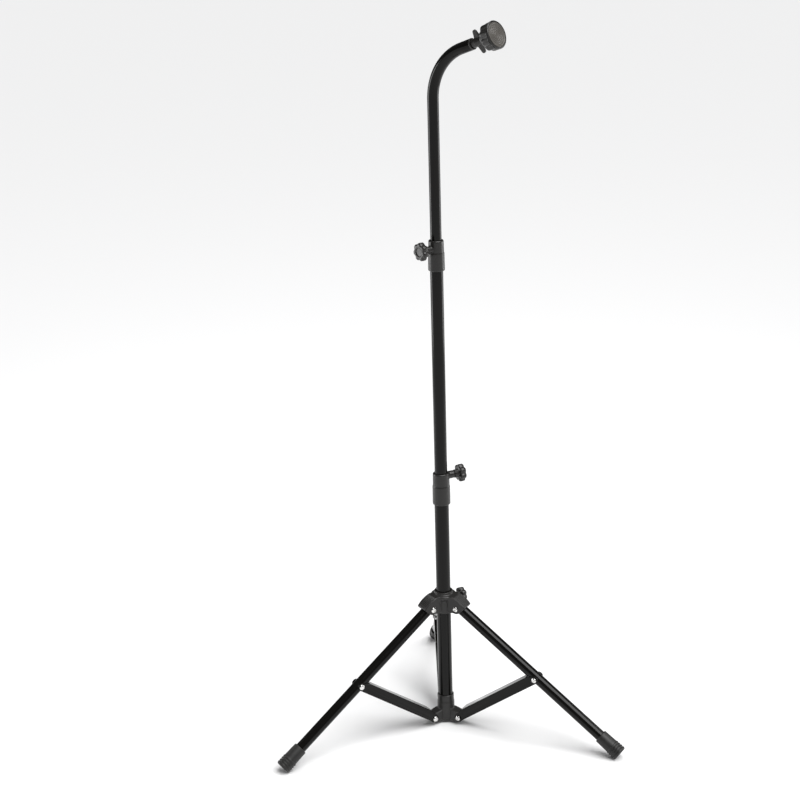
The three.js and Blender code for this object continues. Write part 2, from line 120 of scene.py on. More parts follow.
def rounded(points, radius, steps=4):
    # an outline with each corner replaced by a quadratic curve that starts and ends radius away from it
    points = np.array(points, dtype=float)
    before, after = np.roll(points, 1, axis=0), np.roll(points, -1, axis=0)
    radii = np.broadcast_to(radius, len(points)).astype(float)
    toBefore, toAfter = before - points, after - points
    lengthBefore = np.linalg.norm(toBefore, axis=1)
    lengthAfter = np.linalg.norm(toAfter, axis=1)
    reach = np.minimum(radii, np.minimum(lengthBefore, lengthAfter) * 0.45)
    start = points + toBefore * (reach / lengthBefore)[:, None]
    end = points + toAfter * (reach / lengthAfter)[:, None]
    t = np.linspace(0, 1, steps + 1)[None, :, None]
    curve = (1 - t) ** 2 * start[:, None] + 2 * t * (1 - t) * points[:, None] + t ** 2 * end[:, None]
    return curve.reshape(-1, 2)


def ring(profile, sides):
    # a closed profile of (distance along x, radius) turned about x
    profile = np.array(profile)
    angle = np.linspace(0, 2 * math.pi, sides, endpoint=False)
    x = np.repeat(profile[:, :1], sides, axis=1)
    y = profile[:, 1:] * np.cos(angle)
    z = profile[:, 1:] * np.sin(angle)
    return np.stack([x, y, z], axis=-1).reshape(-1, 3), gridFaces(len(profile), sides, True, True)


def solidRing(points, radius, sides=64, steps=4):
    # a turned piece whose profile may touch the axis; corners off the axis are rounded
    points = np.array(points, dtype=float) * mm
    radii = np.where(points[:, 1] < 1e-6, 0.0, np.broadcast_to(radius, len(points)) * mm)
    return ring(rounded(points, radii, steps), sides)


def prism(outline, halfWidth):
    # an outline in x and z carried along y, both ends closed
    outline = np.array(outline) * mm
    count = len(outline)
    half = halfWidth * mm
    front = np.stack([outline[:, 0], np.full(count, -half), outline[:, 1]], axis=-1)
    back = front + [0, 2 * half, 0]
    index = np.arange(count)
    sides = np.stack([index, (index + 1) % count, (index + 1) % count + count, index + count], axis=-1)
    return np.vstack([front, back]), sides.tolist() + [index[::-1].tolist(), (index + count).tolist()]


def joinShapes(shapes):
    # several shapes as one list of points and faces
    points, faces, start = [], [], 0
    for shapePoints, shapeFaces in shapes:
        points.append(shapePoints)
        faces += [[corner + start for corner in face]
                  for face in np.asarray(shapeFaces, dtype=object).tolist()]
        start += len(shapePoints)
    return np.vstack(points), faces


def shifted(shape, matrix):
    return moved(shape[0], matrix), shape[1]


def meshObject(name, points, faces):
    mesh = bpy.data.meshes.new(name)
    mesh.from_pydata(np.asarray(points).tolist(), [], [list(face) for face in faces])
    shape = bmesh.new()
    shape.from_mesh(mesh)
    bmesh.ops.remove_doubles(shape, verts=shape.verts, dist=2e-6)
    bmesh.ops.dissolve_degenerate(shape, edges=shape.edges, dist=1e-7)
    bmesh.ops.recalc_face_normals(shape, faces=shape.faces)
    shape.to_mesh(mesh)
    shape.free()
    piece = bpy.data.objects.new(name, mesh)
    bpy.context.scene.collection.objects.link(piece)
    return piece


def smoothShaded(piece, angle=35):
    mesh = piece.data
    mesh.polygons.foreach_set("use_smooth", np.ones(len(mesh.polygons), dtype=bool))
    mesh.set_sharp_from_angle(angle=math.radians(angle))
    return piece


def baked(piece):
    # the piece's modifiers become its mesh
    graph = bpy.context.evaluated_depsgraph_get()
    mesh = bpy.data.meshes.new_from_object(piece.evaluated_get(graph))
    piece.modifiers.clear()
    piece.data = mesh
    return piece


def moulded(name, adds, cuts, voxel, smoothing=4):
    # overlapping shapes melted into one skin, cut by others, then melted again so that edges turn soft
    piece = meshObject(name, *joinShapes(adds))
    remesh = piece.modifiers.new("melt", "REMESH")
    remesh.mode = "VOXEL"
    remesh.voxel_size = voxel * mm
    baked(piece)
    if cuts:
        cutter = meshObject(name + "Cut", *joinShapes(cuts))
        boolean = piece.modifiers.new("cut", "BOOLEAN")
        boolean.operation = "DIFFERENCE"
        boolean.solver = "EXACT"
        boolean.use_self = True
        boolean.object = cutter
        baked(piece)
        bpy.data.objects.remove(cutter)
        again = piece.modifiers.new("melt", "REMESH")
        again.mode = "VOXEL"
        again.voxel_size = voxel * mm
    smooth = piece.modifiers.new("soften", "SMOOTH")
    smooth.factor = 0.5
    smooth.iterations = smoothing
    return smoothShaded(baked(piece), 180)


def keep(piece, body, material, slot, *nodes):
    piece.data.materials.clear()
    piece.data.materials.append(material)
    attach(piece, body)
    if nodes:
        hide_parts(*nodes)
    return piece


# finishes
def socketGroup(name, inputs, outputs):
    group = bpy.data.node_groups.new(name, "ShaderNodeTree")
    for socketName, kind, value in inputs:
        socket = group.interface.new_socket(name=socketName, in_out="INPUT", socket_type=kind)
        if value is not None:
            socket.default_value = value
    for socketName, kind in outputs:
        group.interface.new_socket(name=socketName, in_out="OUTPUT", socket_type=kind)
    return group, group.nodes.new("NodeGroupInput"), group.nodes.new("NodeGroupOutput")


def mathNode(tree, operation, first, second):
    node = tree.nodes.new("ShaderNodeMath")
    node.operation = operation
    for socket, value in ((node.inputs[0], first), (node.inputs[1], second)):
        if isinstance(value, (int, float)):
            socket.default_value = value
        else:
            tree.links.new(value, socket)
    return node.outputs[0]


def noiseNode(tree, vector, scale, detail, roughness=0.5):
    node = tree.nodes.new("ShaderNodeTexNoise")
    node.inputs["Detail"].default_value = detail
    node.inputs["Roughness"].default_value = roughness
    tree.links.new(vector, node.inputs["Vector"])
    if isinstance(scale, (int, float)):
        node.inputs["Scale"].default_value = scale
    else:
        tree.links.new(scale, node.inputs["Scale"])
    return node.outputs["Fac"]


def makeHandledGroup():
    # slow smudges and fine dust: a roughness and a colour that wander a little over the surface
    group, given, result = socketGroup("handledSurface", [
        ("Vector", "NodeSocketVector", None), ("Colour", "NodeSocketColor", (0.01, 0.01, 0.01, 1)),
        ("Dust Colour", "NodeSocketColor", (0.1, 0.1, 0.1, 1)), ("Roughness", "NodeSocketFloat", 0.3),
        ("Smudge", "NodeSocketFloat", 0.08), ("Dust", "NodeSocketFloat", 0.05)],
        [("Colour", "NodeSocketColor"), ("Roughness", "NodeSocketFloat")])
    broad = noiseNode(group, given.outputs["Vector"], 38.0, 4.0, 0.6)
    fine = noiseNode(group, given.outputs["Vector"], 900.0, 2.0, 0.7)
    wander = mathNode(group, "SUBTRACT", broad, 0.5)
    rough = mathNode(group, "ADD", given.outputs["Roughness"],
                     mathNode(group, "MULTIPLY", wander, given.outputs["Smudge"]))
    specks = mathNode(group, "MULTIPLY", mathNode(group, "MULTIPLY", fine, broad), given.outputs["Dust"])
    mix = group.nodes.new("ShaderNodeMix")
    mix.data_type = "RGBA"
    group.links.new(specks, mix.inputs["Factor"])
    group.links.new(given.outputs["Colour"], mix.inputs[6])
    group.links.new(given.outputs["Dust Colour"], mix.inputs[7])
    group.links.new(mix.outputs[2], result.inputs["Colour"])
    group.links.new(rough, result.inputs["Roughness"])
    return group


def makeGrainGroup():
    # fine moulded or sprayed grain as a height: two noises, the second ten times coarser
    group, given, result = socketGroup("fineGrain", [
        ("Vector", "NodeSocketVector", None), ("Scale", "NodeSocketFloat", 1200.0),
        ("Flow", "NodeSocketFloat", 0.3)],
        [("Height", "NodeSocketFloat")])
    small = noiseNode(group, given.outputs["Vector"], given.outputs["Scale"], 3.0)
    coarseScale = mathNode(group, "MULTIPLY", given.outputs["Scale"], 0.1)
    coarse = noiseNode(group, given.outputs["Vector"], coarseScale, 2.0)
    height = mathNode(group, "ADD", small, mathNode(group, "MULTIPLY", coarse, given.outputs["Flow"]))
    group.links.new(height, result.inputs["Height"])
    return group


handledSurface = makeHandledGroup()
fineGrain = makeGrainGroup()


def finishMaterial(name, look):
    material = bpy.data.materials.new(name)
    material.use_nodes = True
    tree = material.node_tree
    shader = tree.nodes["Principled BSDF"]
    where = tree.nodes.new("ShaderNodeTexCoord").outputs["Object"]
    handled = tree.nodes.new("ShaderNodeGroup")
    handled.node_tree = handledSurface
    tree.links.new(where, handled.inputs["Vector"])
    handled.inputs["Colour"].default_value = (*look["colour"], 1)
    handled.inputs["Dust Colour"].default_value = (*look["dustColour"], 1)
    handled.inputs["Roughness"].default_value = look["roughness"]
    handled.inputs["Smudge"].default_value = look["smudge"]
    handled.inputs["Dust"].default_value = look["dust"]
    tree.links.new(handled.outputs["Colour"], shader.inputs["Base Color"])
    tree.links.new(handled.outputs["Roughness"], shader.inputs["Roughness"])
    grain = tree.nodes.new("ShaderNodeGroup")
    grain.node_tree = fineGrain
    grain.inputs["Scale"].default_value = look["grainScale"]
    grain.inputs["Flow"].default_value = look["flow"]
    tree.links.new(where, grain.inputs["Vector"])
    bump = tree.nodes.new("ShaderNodeBump")
    bump.inputs["Strength"].default_value = look["grain"]
    bump.inputs["Distance"].default_value = look["depth"] * mm
    tree.links.new(grain.outputs["Height"], bump.inputs["Height"])
    tree.links.new(bump.outputs["Normal"], shader.inputs["Normal"])
    shader.inputs["Metallic"].default_value = look.get("metallic", 0.0)
    shader.inputs["Specular IOR Level"].default_value = look.get("specular", 0.5)
    return material


glossPaint = finishMaterial("glossPaint", {
    "colour": (0.0035, 0.0033, 0.003), "dustColour": (0.06, 0.056, 0.05), "roughness": 0.13, "smudge": 0.08,
    "dust": 0.02, "grainScale": 420.0, "flow": 0.9, "grain": 0.1, "depth": 0.05, "specular": 0.2})
mouldedNylon = finishMaterial("mouldedNylon", {
    "colour": (0.011, 0.0105, 0.0098), "dustColour": (0.09, 0.084, 0.074), "roughness": 0.36, "smudge": 0.16,
    "dust": 0.07, "grainScale": 1500.0, "flow": 0.5, "grain": 0.3, "depth": 0.12, "specular": 0.45})
greyFace = finishMaterial("greyFace", {
    "colour": (0.075, 0.069, 0.062), "dustColour": (0.2, 0.19, 0.175), "roughness": 0.42, "smudge": 0.12,
    "dust": 0.12, "grainScale": 1500.0, "flow": 0.5, "grain": 0.3, "depth": 0.12})
footRubber = finishMaterial("footRubber", {
    "colour": (0.008, 0.0078, 0.0075), "dustColour": (0.1, 0.096, 0.088), "roughness": 0.5, "smudge": 0.18,
    "dust": 0.12, "grainScale": 1100.0, "flow": 0.7, "grain": 0.4, "depth": 0.16, "specular": 0.4})
nickel = finishMaterial("nickel", {
    "colour": (0.78, 0.775, 0.76), "dustColour": (0.4, 0.39, 0.37), "roughness": 0.2, "smudge": 0.12,
    "dust": 0.12, "grainScale": 2500.0, "flow": 0.2, "grain": 0.1, "depth": 0.04, "metallic": 1.0})
turnedBrass = finishMaterial("turnedBrass", {
    "colour": (0.62, 0.43, 0.17), "dustColour": (0.3, 0.22, 0.1), "roughness": 0.28, "smudge": 0.12,
    "dust": 0.14, "grainScale": 2500.0, "flow": 0.2, "grain": 0.15, "depth": 0.05, "metallic": 1.0})
print("stage: finishes")


# tubes
tubeLook = {"wall": 1.2, "lip": 0.5, "sides": 96, "upper": 9.5, "middle": 11.0, "lower": 12.5}


def pipeProfile(start, end, outer, wall):
    # outside from start to end, round the lip, back through the bore
    return rounded([(start, outer), (end, outer), (end, outer - wall), (start, outer - wall)],
                   tubeLook["lip"])


def straightTube(name, body, node, radius):
    low, high = boxOf(node)
    points, faces = ring(pipeProfile(0, high[2] - low[2], radius * mm, tubeLook["wall"] * mm),
                         tubeLook["sides"])
    piece = meshObject(name, moved(points, onColumn(low[2])), faces)
    return keep(smoothShaded(piece), body, glossPaint, "paint", node)


straightTube("lowerTube", "column", "lower_tube", tubeLook["lower"])
straightTube("middleTube", "middle", "middle_tube", tubeLook["middle"])

armLook = {"bendRadius": 92.0, "bendAngle": 69.0, "straight": 303.0, "tip": 22.0, "bendSteps": 40}
studPoint, studAxis = jointPlace("clamp_knob_turn")
armHeading = unit([studAxis[0], studAxis[1], 0])


def armPath(distance):
    # straight up, then round a bend towards the heading, then straight on; centre and outward normal of
    # the bend
    straight = armLook["straight"] * mm
    radius = armLook["bendRadius"] * mm
    turn = np.clip((distance - straight) / radius, 0, math.radians(armLook["bendAngle"]))
    spare = np.maximum(distance - straight - radius * math.radians(armLook["bendAngle"]), 0)
    out = radius * (1 - np.cos(turn)) + spare * np.sin(turn)
    up = np.minimum(distance, straight) + radius * np.sin(turn) + spare * np.cos(turn)
    base = np.array([columnX, columnY, boxOf("bent_arm_tube")[0][2]])
    centre = base + out[:, None] * armHeading + up[:, None] * [0, 0, 1]
    normal = -np.cos(turn)[:, None] * armHeading + np.sin(turn)[:, None] * [0, 0, 1]
    return centre, normal


def bentTube(name):
    # the pipe profile carried along the arm's path: radius times cosine on the normal, sine on the side
    straight = armLook["straight"] * mm
    bendLength = armLook["bendRadius"] * mm * math.radians(armLook["bendAngle"])
    total = straight + bendLength + armLook["tip"] * mm
    outer = tubeLook["upper"] * mm
    inner = outer - tubeLook["wall"] * mm
    stations = np.concatenate([[0.0005, straight * 0.5],
                               straight + np.linspace(0, bendLength, armLook["bendSteps"]),
                               [total - 0.0005]])
    lip = tubeLook["lip"] * mm
    outside = np.stack([stations, np.full(len(stations), outer)], axis=-1)
    inside = np.stack([stations[::-1], np.full(len(stations), inner)], axis=-1)
    farLip = [(total, outer - lip * 0.4), (total, inner + lip * 0.4)]
    nearLip = [(0.0, inner + lip * 0.4), (0.0, outer - lip * 0.4)]
    profile = np.vstack([outside, farLip, inside, nearLip])
    centre, normal = armPath(profile[:, 0])
    side = np.cross(armHeading, [0, 0, 1])
    angle = np.linspace(0, 2 * math.pi, tubeLook["sides"], endpoint=False)
    radial = np.cos(angle)[None, :, None] * normal[:, None] + np.sin(angle)[None, :, None] * side
    points = centre[:, None] + profile[:, 1][:, None, None] * radial
    return meshObject(name, points.reshape(-1, 3), gridFaces(len(profile), len(angle), True, True))


keep(smoothShaded(bentTube("bentArm")), "arm", glossPaint, "paint", "bent_arm_tube")
print("stage: column tubes")


# legs, feet and braces
legLook = {"radius": 9.5, "footLength": 45.0, "footFloor": 5.0, "footTop": 12.0, "foot": 13.5, "flat": 1.6}
legDrop = legs[0]["leg"][2, 0]
footTipHeight = legLook["foot"] * mm * math.sqrt(1 - legDrop ** 2) - legLook["flat"] * mm
legReach = (legs[0]["crown"][2] - footTipHeight) / -legDrop / mm


def legTubeShape():
    # a pipe along x whose upper end follows a cylinder about the pivot pin: x = -sqrt(radius^2 - z^2)
    outer = legLook["radius"] * mm
    inner = outer - tubeLook["wall"] * mm
    end = (legReach - legLook["footFloor"] - 0.3) * mm
    angle = np.linspace(0, 2 * math.pi, tubeLook["sides"], endpoint=False)
    rows = [(0, outer), (0.5, outer), (1, outer), (1, inner), (0.5, inner), (0, inner)]
    points = []
    for share, radius in rows:
        start = -np.sqrt(outer ** 2 - (radius * np.sin(angle)) ** 2) * 0.985
        x = start + (end - start) * share
        points.append(np.stack([x, radius * np.cos(angle), radius * np.sin(angle)], axis=-1))
    return np.array(points).reshape(-1, 3), gridFaces(len(rows), len(angle), True, True)


def footShape():
    # smooth taper, then a ribbed end: shallow round grooves every few millimetres, open at the leg's side
    start = legReach - legLook["footLength"]
    top, wide, bore = legLook["footTop"], legLook["foot"], legLook["radius"] + 0.3
    outline = [(start + 1.2, bore), (start, bore + 0.8), (start, top - 0.8), (start + 0.9, top)]
    outline += [(start + 22, top + 0.45), (start + 24.5, top + 0.5)]
    for rib in range(4):
        ribStart = start + 26 + rib * 4.6
        outline += [(ribStart, wide - 0.9), (ribStart + 0.7, wide), (ribStart + 3.0, wide),
                    (ribStart + 3.7, wide - 0.9)]
    outline += [(legReach - 0.9, wide - 0.9), (legReach, wide - 2.2), (legReach, 0.0), (legReach - 5, 0.0)]
    outline += [(legReach - 5, bore)]
    return solidRing(outline, 0.5, 80)


def softened(name, node, width, angle=30):
    # a merged copy of the frame's own piece with its edges rounded
    mesh = frame["nodes"][node].data.copy()
    piece = bpy.data.objects.new(name, mesh)
    bpy.context.scene.collection.objects.link(piece)
    shape = bmesh.new()
    shape.from_mesh(mesh)
    bmesh.ops.remove_doubles(shape, verts=shape.verts, dist=2e-6)
    bmesh.ops.dissolve_limit(shape, angle_limit=math.radians(1.5), verts=shape.verts, edges=shape.edges)
    bmesh.ops.recalc_face_normals(shape, faces=shape.faces)
    shape.to_mesh(mesh)
    shape.free()
    bevel = piece.modifiers.new("soften", "BEVEL")
    bevel.width = width * mm
    bevel.segments = 3
    bevel.limit_method = "ANGLE"
    bevel.angle_limit = math.radians(angle)
    return smoothShaded(baked(piece))


legShape = legTubeShape()
footPoints, footFaces = footShape()
for leg in legs:
    number = leg["number"]
    body = "leg_%d" % number
    tube = meshObject("legTube%d" % number, moved(legShape[0], leg["leg"]), legShape[1])
    keep(smoothShaded(tube), body, glossPaint, "paint", "leg_tube_%d" % number)
    points = moved(footPoints, leg["leg"])
    points[:, 2] = np.maximum(points[:, 2], 0)  # the flat that rests on the floor
    foot = meshObject("legFoot%d" % number, points, footFaces)
    keep(smoothShaded(foot), body, footRubber, "foot_rubber", "leg_foot_%d" % number)
    brace = softened("legBrace%d" % number, "brace_%d" % number, 0.45)
    keep(brace, "brace_%d" % number, glossPaint, "paint", "brace_%d" % number)
print("stage: legs and braces")


# pivot screws and their nuts
screwLook = {"pin": 2.5, "head": 5.0, "rise": 2.6, "slot": 1.1, "slotDepth": 1.2, "nutRise": 3.2}
slotHalf, cheek, sheet, gap = 9.9, 3.2, 1.2, 0.3


def screwShape(seat):
    # pin and domed head, x along the pin
    look = screwLook
    end = -seat - look["nutRise"] + 1.2
    outline = [(end, 0), (end, look["pin"]), (seat, look["pin"]), (seat, look["head"]),
               (seat + look["rise"] * 0.4, look["head"]), (seat + look["rise"] * 0.85, look["head"] * 0.62),
               (seat + look["rise"], 0)]
    return solidRing(outline, 0.6, 40)


def nutShape(seat):
    # a closed round nut with a small dimple, x away from the plate
    look = screwLook
    back = -seat - look["nutRise"]
    wide = look["head"] * 0.9
    bore = look["pin"] + gap
    outline = [(back + 1.0, 0), (back + 0.8, 1.2), (back, 1.9), (back + 0.2, wide * 0.72),
               (back + 1.3, wide), (-seat, wide),
               (-seat, bore), (back + 1.6, bore), (back + 1.6, 0)]
    return solidRing(outline, 0.35, 40)


def addPivot(name, node, origin, side, seat, body):
    spot = place(origin, side, (0, 0, 1))
    points, faces = screwShape(seat)
    screw = meshObject(name + "Screw", moved(points, spot), faces)
    top = seat + screwLook["rise"]
    depth, slot = screwLook["slotDepth"], screwLook["slot"] / 2
    bar = prism([(top - depth, -slot), (top + 1, -slot), (top + 1, slot), (top - depth, slot)], 7)
    cutter = meshObject(name + "Slot", moved(bar[0], spot @ np.array(Matrix.Rotation(0.6, 4, "X"))), bar[1])
    boolean = screw.modifiers.new("slot", "BOOLEAN")
    boolean.operation = "DIFFERENCE"
    boolean.solver = "EXACT"
    boolean.object = cutter
    baked(screw)
    bpy.data.objects.remove(cutter)
    keep(smoothShaded(screw), body, nickel, "bright_steel", node + "_screw")
    points, faces = nutShape(seat)
    nut = meshObject(name + "Nut", moved(points, spot), faces)
    keep(smoothShaded(nut), body, nickel, "bright_steel", node + "_nut")


for leg in legs:
    number = leg["number"]
    addPivot("crownPivot%d" % number, "crown_pivot_%d" % number, leg["crown"], leg["side"],
             slotHalf + cheek + gap, "crown")
    addPivot("kneePivot%d" % number, "leg_pivot_%d" % number, leg["knee"], leg["side"],
             slotHalf + sheet + gap,
             "leg_%d" % number)
    addPivot("hubPivot%d" % number, "hub_pivot_%d" % number, leg["hub"], leg["side"],
             slotHalf + sheet + gap, "column")
print("stage: pivots")


# crown, lower hub and collars
def sideOf(leg):
    # place at a leg's heading: x outward, y to the side, z up
    outward = leg["crown"] - [columnX, columnY, leg["crown"][2]]
    return place((columnX, columnY, 0), outward, leg["side"])


def lifted(matrix, height):
    result = matrix.copy()
    result[2, 3] = height
    return result


def arcPoints(x, z, radius, fromAngle, toAngle, steps=14):
    angle = np.radians(np.linspace(fromAngle, toAngle, steps))
    return np.stack([x + radius * np.cos(angle), z + radius * np.sin(angle)], axis=-1).tolist()


crownLook = {
    "bore": 12.8, "sleeve": 16.5, "drop": 13.0, "rise": 26.7, "ringRadius": 16.5, "ringHeight": 4.5,
    "flare": 22.0,
    "flareHeight": 6.0, "pivot": 29.5, "eye": 9.5, "under": 9.8, "roof": 3.4, "reach": 12.0, "bulge": 2.2,
    "bossReach": 27.0, "bossRadius": 6.5, "screwRise": 8.0, "voxel": 0.7, "ribs": 7, "ribRadius": 1.15}
legDirection = np.array([math.sqrt(1 - legDrop ** 2), legDrop])
roofTop = crownLook["under"] + crownLook["roof"]
roofStart = -(crownLook["pivot"] - roofTop * legDirection[1] - crownLook["flare"]) / legDirection[0]


def alongLeg(distance, offset):
    # a point in a leg's side view: distance down the leg from the pivot, offset above its axis
    above = np.array([-legDirection[1], legDirection[0]])
    return (np.array([crownLook["pivot"], 0]) + distance * legDirection + offset * above).tolist()


def roofLine(distance):
    # height of a roof above the leg's axis: a parabola that is highest halfway down
    share = (distance - roofStart) / (crownLook["reach"] - roofStart)
    return roofTop - 0.6 + crownLook["bulge"] * 4 * share * (1 - share)


def crownPiece():
    look = crownLook
    height = legs[0]["crown"][2]
    flareTop = look["rise"] - look["ringHeight"]
    shell = [(-look["drop"], look["bore"] - 2), (-look["drop"], look["sleeve"]),
             (flareTop - 2 * look["flareHeight"], look["sleeve"]),
             (flareTop - look["flareHeight"], look["flare"]),
             (flareTop - 1.5, look["flare"]), (flareTop, look["ringRadius"] + 1.5),
             (flareTop, look["ringRadius"]),
             (look["rise"], look["ringRadius"]), (look["rise"], look["bore"] - 2)]
    adds = [shifted(solidRing(shell, 0.9, 96), onColumn(height))]
    cuts = [shifted(solidRing([(-60, 0), (-60, look["bore"]), (60, look["bore"]), (60, 0)], 0, 96),
                    onColumn(height))]
    for leg in legs:
        spot = lifted(sideOf(leg), height)
        lobe = [(look["bore"] + 1, -look["eye"])] + arcPoints(look["pivot"], 0, look["eye"], -110, -50)
        lobe += [alongLeg(look["reach"], look["under"] - 1)]
        lobe += [alongLeg(d, roofLine(d)) for d in np.linspace(look["reach"], roofStart, 12)]
        lobe += [(look["bore"] + 1, alongLeg(roofStart, roofTop)[1])]
        adds.append(shifted(prism(lobe, slotHalf + cheek), spot))
        slotTop = alongLeg(-8, look["under"])
        slot = [alongLeg(60, look["under"]), slotTop, (look["sleeve"] + gap, slotTop[1]),
                (look["sleeve"] + gap, -50),
                (90, -50)]
        cuts.append(shifted(prism(slot, slotHalf), spot))
    screwAxis = jointPlace("crown_clamp_turn")[1]
    bossSpot = place((columnX, columnY, height + look["screwRise"] * mm), screwAxis, (0, 0, 1))
    boss = [(10, 0), (10, look["bossRadius"]), (look["bossReach"], look["bossRadius"]),
            (look["bossReach"], 0)]
    adds.append(shifted(solidRing(boss, 0.8, 48), bossSpot))
    cuts.append(shifted(solidRing([(8, 0), (8, 4.8), (60, 4.8), (60, 0)], 0, 48), bossSpot))
    return moulded("crown", adds, cuts, look["voxel"], 3)


def ribShape(leg, across):
    # a round bar that follows the roof's curve; its radius falls to nothing at both ends
    look = crownLook
    distance = np.linspace(roofStart + 1.0, look["reach"] + 0.2, 24)
    share = np.linspace(-1, 1, len(distance))
    radius = look["ribRadius"] * np.sqrt(np.clip(1 - share ** 8, 0, 1))
    direction, side, above = leg["leg"][:3, 0], leg["leg"][:3, 1], leg["leg"][:3, 2]
    centre = distance[:, None] * direction + (roofLine(distance) - 0.2)[:, None] * above + across * side
    angle = np.linspace(0, 2 * math.pi, 14, endpoint=False)
    around = np.cos(angle)[:, None] * side + np.sin(angle)[:, None] * above
    points = leg["crown"] + (centre[:, None] + radius[:, None, None] * around) * mm
    return points.reshape(-1, 3), gridFaces(len(distance), len(angle), False, True)


def crownRibs():
    # round ribs that run down each roof, side by side
    width = slotHalf + cheek - 2.0
    shapes = [ribShape(leg, across)
              for leg in legs for across in np.linspace(-width, width, crownLook["ribs"])]
    return meshObject("crownRibs", *joinShapes(shapes))


keep(crownPiece(), "crown", mouldedNylon, "moulded_black", "crown_hub")
keep(smoothShaded(crownRibs()), "crown", mouldedNylon, "moulded_black")
print("stage: crown")

hubLook = {"base": 4.5, "floor": 4.0, "height": 49.0, "bore": 12.8, "wall": 2.5, "eye": 8.3, "pivot": 29.5,
           "lugHalf": 9.5, "lugRise": 12.5, "voxel": 0.7}


def hubPiece():
    look = hubLook
    outer = look["bore"] + look["wall"]
    top = look["base"] + look["height"]
    pivotHeight = legs[0]["hub"][2] / mm
    shell = [(look["base"], 0), (look["base"], outer), (top - 14, outer), (top - 12.5, outer - 0.7),
             (top - 1.2, outer - 0.7),
             (top, outer - 1.8), (top, 0)]
    adds = [shifted(solidRing(shell, 0.8, 96), onColumn(0))]
    bore = [(look["base"] + look["floor"], 0), (look["base"] + look["floor"], look["bore"]),
            (90, look["bore"]), (90, 0)]
    cuts = [shifted(solidRing(bore, 0, 96), onColumn(0))]
    for leg in legs:
        lug = [(look["bore"] + 1, look["base"])] + arcPoints(look["pivot"], pivotHeight, look["eye"], -90, 60)
        lug += [(look["bore"] + 1, pivotHeight + look["lugRise"])]
        spot = sideOf(leg)
        adds.append(shifted(prism(lug, look["lugHalf"]), spot))
    return moulded("lowerHub", adds, cuts, look["voxel"], 3)


keep(hubPiece(), "column", mouldedNylon, "moulded_black", "lower_hub")

collarLook = {
    "lower": {"node": "lower_collar", "body": "column", "outer": 15.5, "outTube": 12.8, "inTube": 11.3,
              "grip": 42.0,
              "height": 57.0, "drop": 7.0, "boss": 7.0, "reach": 24.0, "turn": "lower_clamp_turn"},
    "upper": {"node": "upper_collar", "body": "middle", "outer": 14.0, "outTube": 11.3, "inTube": 9.8,
              "grip": 29.0,
              "height": 52.0, "drop": 15.0, "boss": 6.5, "reach": 20.0, "turn": "upper_clamp_turn"}}


def collarPiece(which):
    # a stepped sleeve with a chamfered foot, and a boss for the screw
    look = collarLook[which]
    base = boxOf(look["node"])[0][2]
    height, outer = look["height"], look["outer"]
    shell = [(0, look["outTube"] - 2), (0, outer - 0.9), (0.9, outer), (height * 0.58, outer - 0.25),
             (height * 0.58 + 0.9, outer - 0.9), (height - 1.6, outer - 1.2), (height, outer - 2.4),
             (height, look["inTube"] - 2)]
    adds = [shifted(solidRing(shell, 0.5, 96), onColumn(base))]
    screwPoint, screwAxis = jointPlace(look["turn"])
    spot = place((columnX, columnY, screwPoint[2]), screwAxis, (0, 0, 1))
    boss = [(6, 0), (6, look["boss"]), (look["reach"], look["boss"] - 0.3), (look["reach"], 0)]
    adds.append(shifted(solidRing(boss, 0.7, 48), spot))
    bores = [(-5, 0), (-5, look["outTube"]), (look["grip"] + gap, look["outTube"]),
             (look["grip"] + gap, look["inTube"]),
             (90, look["inTube"]), (90, 0)]
    cuts = [shifted(solidRing(bores, 0, 96), onColumn(base)),
            shifted(solidRing([(2, 0), (2, 4.8), (60, 4.8), (60, 0)], 0, 48), spot)]
    return moulded(which + "Collar", adds, cuts, 0.6, 3)


for which in ("lower", "upper"):
    keep(collarPiece(which), collarLook[which]["body"], mouldedNylon, "moulded_black",
         collarLook[which]["node"])
print("stage: hub and collars")


# star knobs and their screws
knobLook = {
    "lower": {"radius": 15.5, "thick": 11.0, "neck": 7.7, "reach": 24.0, "tube": 11.0},
    "upper": {"radius": 15.5, "thick": 11.0, "neck": 5.7, "reach": 20.0, "tube": 9.5},
    "crown": {"radius": 13.5, "thick": 10.0, "neck": 5.0, "reach": 27.0, "tube": 12.5}}
lobeLook = {"lobes": 7, "depth": 2.3, "neckRadius": 7.0, "sides": 168, "bore": 3.3, "screwDepth": 6.5}


